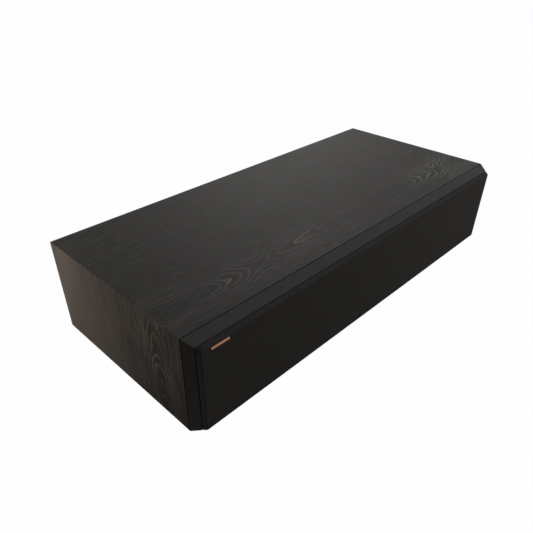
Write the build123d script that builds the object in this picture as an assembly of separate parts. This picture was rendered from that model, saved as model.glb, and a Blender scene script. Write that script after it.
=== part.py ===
from build123d import *
from math import asin, cos, log, pi, radians, sin, sqrt
import os

# Center channel speaker: four woofers and a horn tweeter in a long low cabinet, behind a bevelled grille.
# Millimetres. X runs along the cabinet, -Y faces the listener, +Z is up.
# The origin is under the middle of the whole speaker, on the surface it stands on.

# Cabinet
board = 15.0             # thickness of the wrap boards, the rear board and the braces
board_depth = 357.5      # wrap boards, front edge to rear edge
wrap_edge = 0.8          # rounding of the folded long edges
rear_recess = 3.5        # rear board set in from the rear edges
foot_radius = 10.0
foot_height = 3.0
foot_inset = 45.0        # foot centre from the cabinet's sides

# Front
baffle_reach = 18.3      # baffle's front face ahead of the wrap boards
bevel_inset = 9.5        # how far the bevel draws in over that reach
tongue_depth = 6.0       # step on the back of the baffle that drops into the boards
tongue_fit = 0.3
shadow_width = 1.0       # groove that leaves a dark line between boards and baffle
shadow_depth = 1.5
end_margin = 36.5        # outer woofer's rim to the end of the baffle's front face
face_margin = 8.75       # woofer's rim to the long edges of the baffle's front face
driver_gap = 8.0         # between neighbouring drivers
seat_fit = 0.4           # round a driver's flange in its recess

# Grille
grille_gap = 1.2         # shadow gap between baffle and grille
grille_thickness = 8.2   # frame and cloth together
cloth = 0.6
cloth_return = 6.0       # cloth turned over the back of the frame
rail = 22.0              # width of the frame's rails at its back
window_corner = 18.0
window_margin = 8.0      # window beyond the moving edge of a woofer
boss_radius = 7.0        # stand-off bosses that hold the magnets
boss_clear = 0.1         # between a boss and the baffle
magnet_radius = 5.0
magnet_thickness = 3.0
magnet_fit = 0.1
badge_length = 33.0
badge_height = 4.0
badge_corner = 1.2
badge_thickness = 0.8
badge_drop = 3.8         # badge's middle below the front edge of the grille
badge_from_end = 15.5    # badge's end from the grille's left front edge

# Woofers, sizes along the axis counted back from the baffle's front face
trim_radius = 73.0
flange = 3.0
gasket = 1.0
flange_land = 13.0       # screw land of the flange
ledge_width = 5.5        # ledge that the surround is glued to
ledge_drop = 1.4
roll_width = 6.0         # half roll of the surround
surround_skin = 1.0
glue_gap = 0.1
cone_rim = 3.0           # flat rim of the cone, under the surround
cone_skin = 1.0
cone_depth = 25.0        # flange face to the cone's neck
cone_bulge = 1.4
neck_height = 2.0        # cone glued to the former
cap_radius = 20.0
cap_rise = 6.0
cap_lip = 1.5            # glued rim of the dust cap
former_inner = 12.2
former_wall = 0.4
winding = 0.9
winding_length = 10.0
pole_clear = 0.4
plate_clear = 0.7
neck_to_spider = 9.5     # room for the cone to travel above the spider
spider_skin = 0.8
spider_ridge = 1.5
spider_ridges = 3
spider_cuff = 3.0        # flat of the spider next to the coil
spider_ledge = 3.6
spider_lap = 1.5         # glued rim of the spider, outside the top plate
spider_to_plate = 11.0
basket_skin = 2.2
basket_floor = 2.5       # basket under the spider's ledge
basket_fit = 0.5         # basket's wall in the baffle's cut-out
basket_windows = 6
window_share = 0.72      # open part of each sixth of the basket's wall
window_land = 4.0        # wall left above and below a basket window
plate_thickness = 6.0
plate_radius = 40.0
magnet_depth = 15.0
ferrite_inner = 22.0
ferrite_outer = 45.0
pole_vent = 4.0
lug_length = 14.0        # solder lug beyond the basket's foot
lug_width = 10.0
lug_thickness = 1.5

# Horn tweeter
horn_face = 152.0
horn_corner = 12.0
horn_flange = 4.0
horn_mouth = 60.0        # half width of the tractrix at its mouth
horn_throat = 12.7
horn_wall = 3.0
horn_sections = 6
mouth_squareness = 0.35  # corner radius over half width, at the mouth
throat_sliver = 0.03     # straight left in the outline where it turns round
section_crowding = 1.5   # sections closer together towards the mouth
dome_radius = 12.3
dome_rise = 3.0
dome_skin = 0.5
suspension_width = 4.6
tweeter_winding = 0.7
tweeter_room = 0.8       # free space before and behind the diaphragm's rim
plug_ring = 1.8          # thickness of the phase plug's ring and arms
plug_radius = 5.0
plug_nose = 3.0
plug_length = 12.0
plug_arms = 3
plug_gap = 1.0           # phase plug ahead of the dome's plane
motor_radius = 34.0
tweeter_plate = 5.0
tweeter_magnet_depth = 10.0
tweeter_coil = 8.5         # rim to the coil's end
rear_cap_depth = 18.0
rear_cap_wall = 2.0
rear_cap_vents = 6
vent_radius = 3.0

# Screws, all of one kind
screw_head_radius = 3.8
screw_head = 2.0
screw_shank_radius = 1.8
screw_length = 16.0
pilot_fit = 0.1
screws_per_woofer = 4
screw_turn = 45.0        # first screw from the horizontal, degrees
screw_inset = 6.0        # screw from the rim of a woofer
horn_screw_inset = 9.0

# Rear ports
port_bore = 26.0
port_wall = 2.5
port_flange = 2.5
port_flange_width = 7.0
port_flare = 13.0        # radius of the outer flare
inner_flare = 6.5
port_length = 125.0
port_fit = 0.4

# Terminals
cup_width = 108.0
cup_height = 66.0
cup_depth = 24.0
cup_wall = 2.5
cup_corner = 10.0
cup_flange = 2.5
cup_flange_width = 13.0
cup_fit = 0.5
post_pitch_x = 44.0
post_pitch_z = 31.0
post_radius = 4.0
collar_radius = 8.0
collar = 4.0
strap = 0.8
strap_width = 13.0
hole_fit = 0.08
nut_radius = 8.5
nut_length = 12.0
nut_flutes = 12
flute_radius = 1.2
flute_offset = 0.4       # flute's axis outside the nut
flute_start = 2.0        # plain band at the nut's foot
nut_rest_gap = 0.1
post_tip = 1.5           # post standing out of its thumb nut
plug_bore = 2.05         # socket for a 4 mm plug
plug_bore_depth = 14.0
hex_across = 13.0
hex_thickness = 4.0
post_tail = 6.0

# Crossover board on the posts' inner nuts, and its parts
card_width = 150.0
card_height = 118.0
card = 1.6
coil_radius = 19.0
coil_bore = 8.0
coil_length = 16.0
capacitor_radius = 9.0
capacitor_length = 38.0
resistor_size = (9.0, 36.0, 9.0)
part_gap = 6.0           # between parts on the board and from its edge

# Inside the cabinet
brace_land = 24.0        # wood left round a brace's window
brace_corner = 20.0
lead_radius = 2.2
lead_bend = 30.0
lead_run = 75.0          # straight start and end of a lead
lead_lap = 3.3           # lead's axis above the end of a lug
lead_gap = 18.0          # inner leads from the coils' radius
lead_spread = 12.0       # outer leads beside the inner ones
pad_thickness = 20.0
pad_clear = 0.3
pad_margin = 8.0

# Places worked out from the sizes above
inner_woofer_x = horn_face / 2 + driver_gap + trim_radius
outer_woofer_x = inner_woofer_x + 2 * trim_radius + driver_gap
woofer_xs = (-outer_woofer_x, -inner_woofer_x, inner_woofer_x, outer_woofer_x)
cabinet_width = 2 * (outer_woofer_x + trim_radius + end_margin + bevel_inset)
cabinet_height = 2 * (trim_radius + face_margin + bevel_inset)
inner_width = cabinet_width - 2 * board
inner_height = cabinet_height - 2 * board
bevel_slope = bevel_inset / baffle_reach
grille_back = baffle_reach + grille_gap
grille_front = grille_back + grille_thickness
overall_depth = board_depth + grille_front + badge_thickness
rear_y = overall_depth / 2
boards_front_y = rear_y - board_depth
baffle_y = boards_front_y - baffle_reach
tongue_y = boards_front_y + tongue_depth
rear_face_y = rear_y - rear_recess
rear_inside_y = rear_face_y - board
mid_z = foot_height + cabinet_height / 2
brace_x = (inner_woofer_x + outer_woofer_x) / 2
flange_seat = flange + gasket

# Woofer radii and depths, chained from the rim inwards and from the front back
ledge_outer = trim_radius - flange_land
ledge_inner = ledge_outer - ledge_width
cone_edge = ledge_inner - roll_width
rim_inner = cone_edge - cone_rim
former_outer = former_inner + former_wall
neck_radius = former_outer + glue_gap
pole_radius = former_inner - pole_clear
plate_bore = former_outer + winding + plate_clear
spider_depth = cone_depth + neck_to_spider
plate_depth = spider_depth + spider_to_plate
spider_outer = plate_radius + spider_lap
basket_bottom = spider_outer + basket_skin
cutout_radius = ledge_outer + basket_fit
lug_reach = plate_radius + lug_length
neck_top = cone_depth - neck_height

# Horn and terminal places
horn_depth = horn_mouth * log((horn_mouth + sqrt(horn_mouth**2 - horn_throat**2)) / horn_throat)
horn_depth -= sqrt(horn_mouth**2 - horn_throat**2)
suspension_outer = horn_throat + suspension_width
coil_outer = dome_radius + tweeter_winding
cup_floor_y = rear_face_y - cup_depth
nut_start = collar + strap + nut_rest_gap
post_end = nut_start + nut_length + post_tip
card_depth = cup_wall + hex_thickness
post_places = [(sx * post_pitch_x / 2, sz * post_pitch_z / 2) for sz in (1, -1) for sx in (-1, 1)]
pilot_radius = screw_shank_radius + pilot_fit


def facing_front(x, y, z=mid_z):
    """A plane at a point that looks at the listener: its x is X, its y is up."""
    return Plane(origin=(x, y, z), x_dir=(1, 0, 0), z_dir=(0, -1, 0))


def facing_rear(x, y, z=mid_z):
    """A plane at a point that looks out of the back of the cabinet."""
    return Plane(origin=(x, y, z), x_dir=(-1, 0, 0), z_dir=(0, 1, 0))


def turned(*outline):
    """A solid turned about Z from (radius, height) points."""
    return revolve(Plane.XZ * make_face(Polyline(*outline, close=True)), Axis.Z)


def tube(outer, inner, bottom, top):
    """A plain ring between two heights."""
    return turned((inner, bottom), (outer, bottom), (outer, top), (inner, top))


def rod(radius, bottom, top):
    """A plain cylinder between two heights."""
    low = Align.CENTER, Align.CENTER, Align.MIN
    return Pos(0, 0, bottom) * Cylinder(radius, top - bottom, align=low)


def cap_arc(radius, foot, rise):
    """Arc of a round cap from its rim to its pole on the axis; a negative rise dishes it."""
    sphere = (radius**2 + rise**2) / (2 * rise)
    half_turn = asin(radius / abs(sphere)) / 2
    middle = (abs(sphere) * sin(half_turn), foot + rise - sphere + sphere * cos(half_turn))
    return ThreePointArc((radius, foot), middle, (0, foot + rise))


def at_woofers(make):
    """Four copies of a woofer piece, one behind each cut-out."""
    return [facing_front(x, baffle_y) * make for x in woofer_xs]


def group(solids):
    """Separate solids that share one node."""
    return Compound(children=[s.solid() for s in solids])


def save(name, shape):
    export_step(shape, f"parts/{name}.step")


def wrap_boards():
    """Four boards with mitred corners, cut from one ring so that the grain folds round the edges."""
    outline = RectangleRounded(cabinet_width, cabinet_height, wrap_edge)
    outline -= Rectangle(inner_width, inner_height)
    ring = extrude(facing_front(0, rear_y) * outline, board_depth)
    x, z = cabinet_width / 2, cabinet_height / 2
    xi, zi = inner_width / 2, inner_height / 2
    mitres = {
        "top_board": ((-x, z), (x, z), (xi, zi), (-xi, zi)),
        "bottom_board": ((-x, -z), (x, -z), (xi, -zi), (-xi, -zi)),
        "left_board": ((-x, -z), (-x, z), (-xi, zi), (-xi, -zi)),
        "right_board": ((x, -z), (x, z), (xi, zi), (xi, -zi)),
    }
    for name, corners in mitres.items():
        wedge = extrude(facing_front(0, rear_y) * make_face(Polyline(*corners, close=True)), board_depth)
        save(name, ring & wedge)


def bevel_block(near, far, skin=0.0):
    """The bevelled outline between two distances ahead of the boards, drawn in by a skin."""
    sections = []
    for reach in (near, far):
        draw = 2 * (bevel_slope * reach + skin)
        outline = Rectangle(cabinet_width - draw, cabinet_height - draw)
        sections.append(facing_front(0, boards_front_y - reach) * outline)
    return loft(sections, ruled=True)


def woofer_screw_places():
    """Screw centres of one woofer, on its own axis."""
    ring = trim_radius - screw_inset
    turns = [radians(screw_turn + 360 * k / screws_per_woofer) for k in range(screws_per_woofer)]
    return [(ring * cos(a), ring * sin(a)) for a in turns]


def horn_screw_places():
    """Screw centres of the horn, in the corners of its face."""
    reach = horn_face / 2 - horn_screw_inset
    return [(sx * reach, sz * reach) for sx in (-1, 1) for sz in (-1, 1)]


def cup_screw_places():
    """Screw centres of the terminal cup, in the corners of its flange."""
    x = (cup_width + cup_flange_width) / 2
    z = (cup_height + cup_flange_width) / 2
    return [(sx * x, sz * z) for sx in (-1, 1) for sz in (-1, 1)]


def magnet_places():
    """Grille magnets at the ends and between each pair of woofers, above and below."""
    draw = bevel_slope * grille_back + cloth + cloth_return + boss_radius
    x_end = cabinet_width / 2 - draw
    z = cabinet_height / 2 - draw
    return [(x, sz * z) for x in (-x_end, -brace_x, brace_x, x_end) for sz in (-1, 1)]


def front_baffle():
    """Bevelled board with a shadow groove round its back, and a recess and a cut-out for each driver."""
    plate = bevel_block(shadow_width, baffle_reach)
    plate += bevel_block(0, shadow_width, shadow_depth)
    inset = 2 * tongue_fit
    tongue = Rectangle(inner_width - inset, inner_height - inset)
    plate += extrude(facing_front(0, boards_front_y) * tongue, -tongue_depth)
    through = baffle_reach + tongue_depth
    for x in woofer_xs:
        place = facing_front(x, baffle_y)
        plate -= place * rod(trim_radius + seat_fit, -flange_seat, 1)
        plate -= place * rod(cutout_radius, -through - 1, 0)
        for u, v in woofer_screw_places():
            plate -= place * Pos(u, v) * rod(pilot_radius, -flange_seat - screw_length, 0)
    place = facing_front(0, baffle_y)
    seat = horn_face + 2 * seat_fit
    opening = 2 * (horn_half_width(horn_flange) + horn_wall + seat_fit)
    plate -= extrude(place * RectangleRounded(seat, seat, horn_corner), -horn_flange)
    plate -= extrude(place * RectangleRounded(opening, opening, horn_corner), -through)
    for u, v in horn_screw_places():
        plate -= place * Pos(u, v) * rod(pilot_radius, -horn_flange - screw_length, 0)
    for u, v in magnet_places():
        plate -= place * Pos(u, v) * rod(magnet_radius + magnet_fit, -magnet_thickness, 1)
    return plate


def rear_board():
    """Back of the cabinet, with holes for the ports and the terminal cup."""
    place = facing_rear(0, rear_face_y)
    plate = extrude(place * Rectangle(inner_width, inner_height), -board)
    hole = port_bore + port_flare + port_wall + port_fit
    for x in (-outer_woofer_x, outer_woofer_x):
        plate -= facing_rear(x, rear_face_y) * rod(hole, -board - 1, 1)
    fit = 2 * (cup_wall + cup_fit)
    opening = RectangleRounded(cup_width + fit, cup_height + fit, cup_corner + cup_wall + cup_fit)
    plate -= extrude(place * opening, -board)
    for u, v in cup_screw_places():
        plate -= place * Pos(u, v) * rod(pilot_radius, -board, 1)
    return plate


def brace(x):
    """Upright board between front and rear, with a window that joins the chambers."""
    length = rear_inside_y - tongue_y
    middle = (x - board / 2, (rear_inside_y + tongue_y) / 2, mid_z)
    plane = Plane(origin=middle, x_dir=(0, 1, 0), z_dir=(1, 0, 0))
    outline = Rectangle(length, inner_height)
    outline -= RectangleRounded(length - 2 * brace_land, inner_height - 2 * brace_land, brace_corner)
    return extrude(plane * outline, board)


def rubber_feet():
    """Four pads under the corners."""
    x = cabinet_width / 2 - foot_inset
    y = board_depth / 2 - foot_inset
    middle = rear_y - board_depth / 2
    pad = rod(foot_radius, 0, foot_height)
    return [Pos(sx * x, middle + sy * y, 0) * pad for sx in (-1, 1) for sy in (-1, 1)]


def grille_frame():
    """Moulded frame with a window for each driver and bosses that stand it off the baffle."""
    frame = bevel_block(grille_back + cloth, grille_front - cloth, cloth)
    place = facing_front(0, boards_front_y - grille_back - cloth)
    tall = cabinet_height - 2 * (bevel_slope * grille_back + rail)
    wide = 2 * (cone_edge + roll_width + window_margin)
    centres = [(x, wide) for x in woofer_xs] + [(0, horn_face - 2 * window_margin)]
    for x, width in centres:
        frame -= extrude(place * Pos(x, 0) * RectangleRounded(width, tall, window_corner), grille_thickness)
    stand_off = grille_gap + cloth - boss_clear
    for u, v in magnet_places():
        spot = place * Pos(u, v)
        frame += spot * rod(boss_radius, -stand_off, 0)
        frame -= spot * rod(magnet_radius + magnet_fit, -stand_off, magnet_thickness - stand_off)
    return frame


def grille_cloth():
    """Cloth drawn over the front and sides of the frame and turned in at the back."""
    skin = bevel_block(grille_back, grille_front)
    skin -= bevel_block(grille_back + cloth, grille_front - cloth, cloth)
    draw = 2 * (bevel_slope * grille_back + cloth + cloth_return)
    opening = Rectangle(cabinet_width - draw, cabinet_height - draw)
    return skin - extrude(facing_front(0, boards_front_y - grille_back) * opening, cloth)


def grille_badge():
    """Plain bar near the grille's upper left corner."""
    draw = bevel_slope * grille_front
    x = -cabinet_width / 2 + draw + badge_from_end + badge_length / 2
    z = mid_z + cabinet_height / 2 - draw - badge_drop
    bar = extrude(RectangleRounded(badge_length, badge_height, badge_corner), badge_thickness)
    return facing_front(x, boards_front_y - grille_front, z) * bar


def magnets(y, from_height):
    """Disc magnets at the grille's fixing points."""
    disc = rod(magnet_radius, from_height, from_height + magnet_thickness)
    return [facing_front(0, y) * Pos(u, v) * disc for u, v in magnet_places()]


def woofer_basket():
    """Frame of a woofer: flange, surround ledge, windowed wall, spider ledge and foot ring."""
    wall_low = spider_depth + basket_floor
    wall_in = plate_radius - spider_ledge
    frame = turned(
        (ledge_outer, 0),
        (trim_radius, 0),
        (trim_radius, -flange),
        (ledge_outer, -flange),
        (basket_bottom, -wall_low),
        (plate_radius, -plate_depth),
        (plate_bore + winding_length, -plate_depth),
        (wall_in, -plate_depth + basket_skin),
        (wall_in, -spider_depth),
        (basket_bottom - basket_skin, -spider_depth),
        (ledge_outer - basket_skin, -flange),
        (ledge_inner, -flange),
        (ledge_inner, -ledge_drop),
        (ledge_outer, -ledge_drop),
    )
    top, low = flange + window_land, spider_depth - window_land
    band = ((wall_in, -low), (trim_radius, -low), (trim_radius, -top), (wall_in, -top))
    sixth = 360 / basket_windows
    window = revolve(Plane.XZ * make_face(Polyline(*band, close=True)), Axis.Z, window_share * sixth)
    for k in range(basket_windows):
        frame -= Rot(0, 0, k * sixth) * window
    for u, v in woofer_screw_places():
        frame -= Pos(u, v) * rod(pilot_radius, -flange, 0)
        frame -= Pos(u, v) * rod(screw_head_radius + pilot_fit, -screw_head, 0)
    root = plate_radius - spider_ledge
    lug = Box(lug_width, lug_reach - root, lug_thickness)
    return frame + Pos(0, -(lug_reach + root) / 2, -plate_depth + lug_thickness / 2) * lug


def woofer_cone():
    """Paper-thin dished cone with a flat rim for the surround and a neck round the former."""
    rim = ledge_drop
    front_low, front_high = (neck_radius, -neck_top), (rim_inner, -rim)
    back_low, back_high = (neck_radius, -cone_depth), (rim_inner, -rim - cone_skin)
    middle = (neck_radius + rim_inner) / 2
    front_mid = (middle, -(neck_top + rim) / 2 + cone_bulge)
    back_mid = (middle, -(cone_depth + rim + cone_skin) / 2 + cone_bulge)
    outline = ThreePointArc(front_low, front_mid, front_high)
    outline += Polyline(front_high, (cone_edge, -rim), (cone_edge, -rim - cone_skin), back_high)
    outline += ThreePointArc(back_high, back_mid, back_low)
    outline += Line(back_low, front_low)
    return revolve(Plane.XZ * make_face(outline), Axis.Z)


def cone_front_at(radius):
    """Height of the cone's front face at a radius, straight between neck and rim, with its bulge."""
    share = (radius - neck_radius) / (rim_inner - neck_radius)
    return -neck_top + share * (neck_top - ledge_drop) + cone_bulge * 4 * share * (1 - share)


def dust_cap():
    """Shallow dome glued over the middle of the cone."""
    foot = cone_front_at(cap_radius) + glue_gap
    inner = cap_radius - cap_lip
    inner_rise = cap_rise - cone_skin
    outline = cap_arc(cap_radius, foot, cap_rise) + cap_arc(inner, foot, inner_rise)
    outline += Line((0, foot + inner_rise), (0, foot + cap_rise)) + Line((inner, foot), (cap_radius, foot))
    return revolve(Plane.XZ * make_face(outline), Axis.Z)


def voice_coil():
    """Former with its winding, centred in the magnet gap."""
    middle = plate_depth + plate_thickness / 2
    low, high = middle + winding_length / 2, middle - winding_length / 2
    wound = former_outer + winding
    return turned(
        (former_inner, -neck_top),
        (former_outer, -neck_top),
        (former_outer, -high),
        (wound, -high),
        (wound, -low),
        (former_inner, -low),
    )


def woofer_surround():
    """Half roll with a glued flange on each side."""
    base = -ledge_drop + glue_gap
    middle = (cone_edge + ledge_inner) / 2
    outer = roll_width / 2 + surround_skin / 2
    inner = outer - surround_skin
    top = base + surround_skin
    side = sqrt(outer**2 - surround_skin**2)
    outline = ThreePointArc((middle - side, top), (middle, base + outer), (middle + side, top))
    outline += Polyline(
        (middle + side, top),
        (ledge_outer - glue_gap, top),
        (ledge_outer - glue_gap, base),
        (middle + inner, base),
    )
    outline += ThreePointArc((middle + inner, base), (middle, base + inner), (middle - inner, base))
    outline += Polyline((middle - inner, base), (rim_inner, base), (rim_inner, top), (middle - side, top))
    return revolve(Plane.XZ * make_face(outline), Axis.Z)


def spider():
    """Corrugated disc between the former and the basket's inner ledge."""
    base = -spider_depth + glue_gap
    inner = former_outer + winding
    start, end = inner + spider_cuff, plate_radius - spider_ledge
    steps = 2 * spider_ridges
    wave = [(start + (end - start) * k / steps, base + spider_ridge * (k % 2)) for k in range(steps + 1)]
    under = [(former_outer + glue_gap, base)] + wave + [(spider_outer - glue_gap, base)]
    over = [(r, h + spider_skin) for r, h in reversed(under)]
    return turned(*under, *over)


def woofer_yoke():
    """Back plate and vented pole in one turned piece."""
    face = plate_depth + plate_thickness + magnet_depth
    return turned(
        (pole_vent, -face - plate_thickness),
        (plate_radius, -face - plate_thickness),
        (plate_radius, -face),
        (pole_radius, -face),
        (pole_radius, -plate_depth),
        (pole_vent, -plate_depth),
    )


def woofers():
    """All woofer pieces, with what moves kept apart for each woofer."""
    magnet_face = plate_depth + plate_thickness
    for number, place in enumerate([facing_front(x, baffle_y) for x in woofer_xs], 1):
        save(f"woofer_{number}_basket", place * woofer_basket())
        save(f"woofer_{number}_cone", place * woofer_cone())
        save(f"woofer_{number}_dust_cap", place * dust_cap())
        save(f"woofer_{number}_voice_coil", place * voice_coil())
    save("woofer_surrounds", group(at_woofers(woofer_surround())))
    save("woofer_spiders", group(at_woofers(spider())))
    top_plate = tube(plate_radius, plate_bore, -magnet_face, -plate_depth)
    save("woofer_top_plates", group(at_woofers(top_plate)))
    ferrite = tube(ferrite_outer, ferrite_inner, -magnet_face - magnet_depth, -magnet_face)
    save("woofer_magnets", group(at_woofers(ferrite)))
    save("woofer_yokes", group(at_woofers(woofer_yoke())))
    seal = tube(trim_radius, cutout_radius, -flange_seat, -flange)
    for u, v in woofer_screw_places():
        seal -= Pos(u, v) * rod(pilot_radius, -flange_seat, -flange)
    save("woofer_gaskets", group(at_woofers(seal)))


def horn_half_width(depth):
    """Half width of the tractrix at a depth behind its mouth, found by halving."""
    low, high = horn_throat, horn_mouth
    for _ in range(40):
        half = (low + high) / 2
        root = sqrt(horn_mouth**2 - half**2)
        reached = horn_mouth * log((horn_mouth + root) / half) - root
        low, high = (half, high) if reached > depth else (low, half)
    return low


def horn_flare(offset):
    """Tractrix flare that turns from a rounded square mouth to a round throat."""
    sections = []
    for k in range(horn_sections):
        share = k / (horn_sections - 1)
        depth = horn_depth * share**section_crowding
        half = horn_half_width(depth) + offset
        squareness = mouth_squareness + (1 - mouth_squareness) * share
        corner = min(half * squareness, half - throat_sliver)
        outline = RectangleRounded(2 * half, 2 * half, corner)
        sections.append(Plane.XY.offset(-depth) * outline)
    return loft(sections)


def horn():
    """Horn with its mounting face and the rear flange that the tweeter bolts to."""
    face = extrude(RectangleRounded(horn_face, horn_face, horn_corner), -horn_flange)
    body = horn_flare(horn_wall) - Pos(0, 0, horn_flange / 2) * Box(horn_face, horn_face, horn_flange)
    body += face
    body += rod(motor_radius, -horn_depth, -horn_depth + horn_flange)
    body -= horn_flare(0)
    body -= rod(suspension_outer, -horn_depth, -horn_depth + plug_ring)
    for u, v in horn_screw_places():
        body -= Pos(u, v) * rod(pilot_radius, -horn_flange, 0)
        body -= Pos(u, v) * rod(screw_head_radius + pilot_fit, -screw_head, 0)
    return body


def phase_plug():
    """Bullet held in the throat by thin arms from a ring let into the horn's back."""
    low = -horn_depth
    plug = tube(suspension_outer - seat_fit, horn_throat, low, low + plug_ring)
    start = low + plug_gap
    tip = start + plug_length
    shoulder = tip - plug_nose / 2
    outline = cap_arc(plug_nose, shoulder, plug_nose / 2)
    outline += Polyline((0, tip), (0, start), (plug_radius, start), (plug_nose, shoulder))
    plug += revolve(Plane.XZ * make_face(outline), Axis.Z)
    reach = horn_throat - plug_radius + 2 * plug_ring
    arm = Box(reach, plug_ring, 2 * (plug_ring - plug_gap))
    arm = Pos(plug_radius - plug_ring + reach / 2, 0, start) * arm
    for k in range(plug_arms):
        plug += Rot(0, 0, 360 * k / plug_arms) * arm
    return plug


def tweeter_diaphragm():
    """Inward dome with its suspension rim and its coil, bonded into one piece."""
    face = -horn_depth - tweeter_room
    back = face - dome_skin
    outline = cap_arc(dome_radius, face, -dome_rise) + cap_arc(dome_radius - dome_skin, back, -dome_rise)
    outline += Line((0, back - dome_rise), (0, face - dome_rise))
    outline += Polyline(
        (dome_radius, face),
        (suspension_outer, face),
        (suspension_outer, back),
        (coil_outer, back),
        (coil_outer, face - tweeter_coil),
        (dome_radius - dome_skin, face - tweeter_coil),
        (dome_radius - dome_skin, back),
    )
    return revolve(Plane.XZ * make_face(outline), Axis.Z)


def tweeter_top_plate():
    """Front plate of the motor, hollowed for the diaphragm's rim."""
    face = -horn_depth
    rim_floor = face - 2 * tweeter_room - dome_skin
    return turned(
        (suspension_outer + seat_fit, face),
        (motor_radius, face),
        (motor_radius, face - tweeter_plate),
        (coil_outer + plate_clear, face - tweeter_plate),
        (coil_outer + plate_clear, rim_floor),
        (suspension_outer + seat_fit, rim_floor),
    )


def tweeter_yoke():
    """Back plate and dished pole in one turned piece."""
    front = -horn_depth - tweeter_plate - tweeter_magnet_depth
    pole_top = -horn_depth - tweeter_plate - dome_skin
    return turned(
        (0, front - tweeter_plate),
        (motor_radius, front - tweeter_plate),
        (motor_radius, front),
        (dome_radius - dome_skin - pole_clear, front),
        (dome_radius - dome_skin - pole_clear, pole_top),
        (0, pole_top - dome_rise / 2),
    )


def tweeter_rear_cap():
    """Vented cup behind the motor."""
    front = -horn_depth - 2 * tweeter_plate - tweeter_magnet_depth
    back = front - rear_cap_depth
    cap = rod(motor_radius, back, front) - rod(motor_radius - rear_cap_wall, back + rear_cap_wall, front)
    for k in range(rear_cap_vents):
        spot = Rot(0, 0, 360 * k / rear_cap_vents) * Pos(motor_radius / 2, 0, 0)
        cap -= spot * rod(vent_radius, back, back + rear_cap_wall)
    return cap


def tweeter():
    """Horn with the motor stacked on its rear flange."""
    place = facing_front(0, baffle_y)
    face = -horn_depth - tweeter_plate
    save("horn", place * horn())
    save("phase_plug", place * phase_plug())
    save("tweeter_diaphragm", place * tweeter_diaphragm())
    save("tweeter_top_plate", place * tweeter_top_plate())
    ring = tube(motor_radius, coil_outer + 2 * plate_clear, face - tweeter_magnet_depth, face)
    save("tweeter_magnet", place * ring)
    save("tweeter_yoke", place * tweeter_yoke())
    save("tweeter_rear_cap", place * tweeter_rear_cap())


def panel_screw():
    """Pan-head screw, its head standing in front of the plane that it clamps."""
    return rod(screw_head_radius, 0, screw_head) + rod(screw_shank_radius, -screw_length, 0)


def panel_screws():
    """Every screw of the woofers, the horn and the terminal cup."""
    screw = panel_screw()
    sunk = baffle_y + screw_head
    solids = []
    for x in woofer_xs:
        solids += [facing_front(x, sunk) * Pos(u, v) * screw for u, v in woofer_screw_places()]
    solids += [facing_front(0, sunk) * Pos(u, v) * screw for u, v in horn_screw_places()]
    cup_face = rear_face_y + cup_flange - screw_head
    solids += [facing_rear(0, cup_face) * Pos(u, v) * screw for u, v in cup_screw_places()]
    return solids


def port():
    """Tube with a flare at each end, seated on the rear board by its flange."""
    neck = port_bore + port_wall
    lip = port_bore + port_flare
    flange_edge = lip + port_wall + port_flange_width
    inner_end = port_flange - port_length
    mouth = ThreePointArc(
        (lip, port_flange),
        (lip - port_flare * sin(pi / 4), port_flange - port_flare * (1 - cos(pi / 4))),
        (port_bore, port_flange - port_flare),
    )
    inner_lip = port_bore + inner_flare
    inner_mouth = ThreePointArc(
        (port_bore, inner_end + inner_flare),
        (inner_lip - inner_flare * cos(pi / 4), inner_end + inner_flare * (1 - sin(pi / 4))),
        (inner_lip, inner_end),
    )
    outline = mouth + inner_mouth
    outline += Line((port_bore, port_flange - port_flare), (port_bore, inner_end + inner_flare))
    outline += Polyline(
        (inner_lip, inner_end),
        (inner_lip + port_wall, inner_end),
        (neck, inner_end + port_flare),
        (neck, -board),
        (lip + port_wall, 0),
        (flange_edge, 0),
        (flange_edge, port_flange),
        (lip, port_flange),
    )
    return revolve(Plane.XZ * make_face(outline), Axis.Z)


def terminal_cup():
    """Moulded recess with a flange, a flat floor and four post holes."""
    wall = 2 * cup_wall
    edge = 2 * cup_flange_width
    cup = extrude(RectangleRounded(cup_width + edge, cup_height + edge, cup_corner), cup_flange)
    shell = RectangleRounded(cup_width + wall, cup_height + wall, cup_corner + cup_wall)
    cup += extrude(shell, -cup_depth - cup_wall)
    hollow = RectangleRounded(cup_width, cup_height, cup_corner)
    cup -= Pos(0, 0, -cup_depth) * extrude(hollow, cup_depth + cup_flange)
    for u, v in post_places:
        cup -= Pos(u, v) * rod(post_radius + hole_fit, -cup_depth - cup_wall, -cup_depth)
    for u, v in cup_screw_places():
        cup -= Pos(u, v) * rod(pilot_radius, 0, cup_flange)
        cup -= Pos(u, v) * rod(screw_head_radius + pilot_fit, cup_flange - screw_head, cup_flange)
    return cup


def binding_post():
    """Post with a collar on the cup's floor and a plug socket in its outer end."""
    post = rod(post_radius, -card_depth - card - post_tail, post_end) + rod(collar_radius, 0, collar)
    return post - rod(plug_bore, post_end - plug_bore_depth, post_end)


def post_hex_nut():
    """Nut that clamps a post on the cup's floor and carries the crossover board."""
    nut = extrude(RegularPolygon(hex_across / sqrt(3), 6), -hex_thickness)
    nut -= rod(post_radius + hole_fit, -hex_thickness, 0)
    return Pos(0, 0, -cup_wall) * nut


def thumb_nut():
    """Fluted nut that turns on a post."""
    nut = rod(nut_radius, nut_start, nut_start + nut_length)
    for k in range(nut_flutes):
        spot = Rot(0, 0, 360 * k / nut_flutes) * Pos(nut_radius + flute_offset, 0, 0)
        nut -= spot * rod(flute_radius, nut_start + flute_start, nut_start + nut_length)
    return nut - rod(post_radius + hole_fit, nut_start, nut_start + nut_length)


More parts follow.
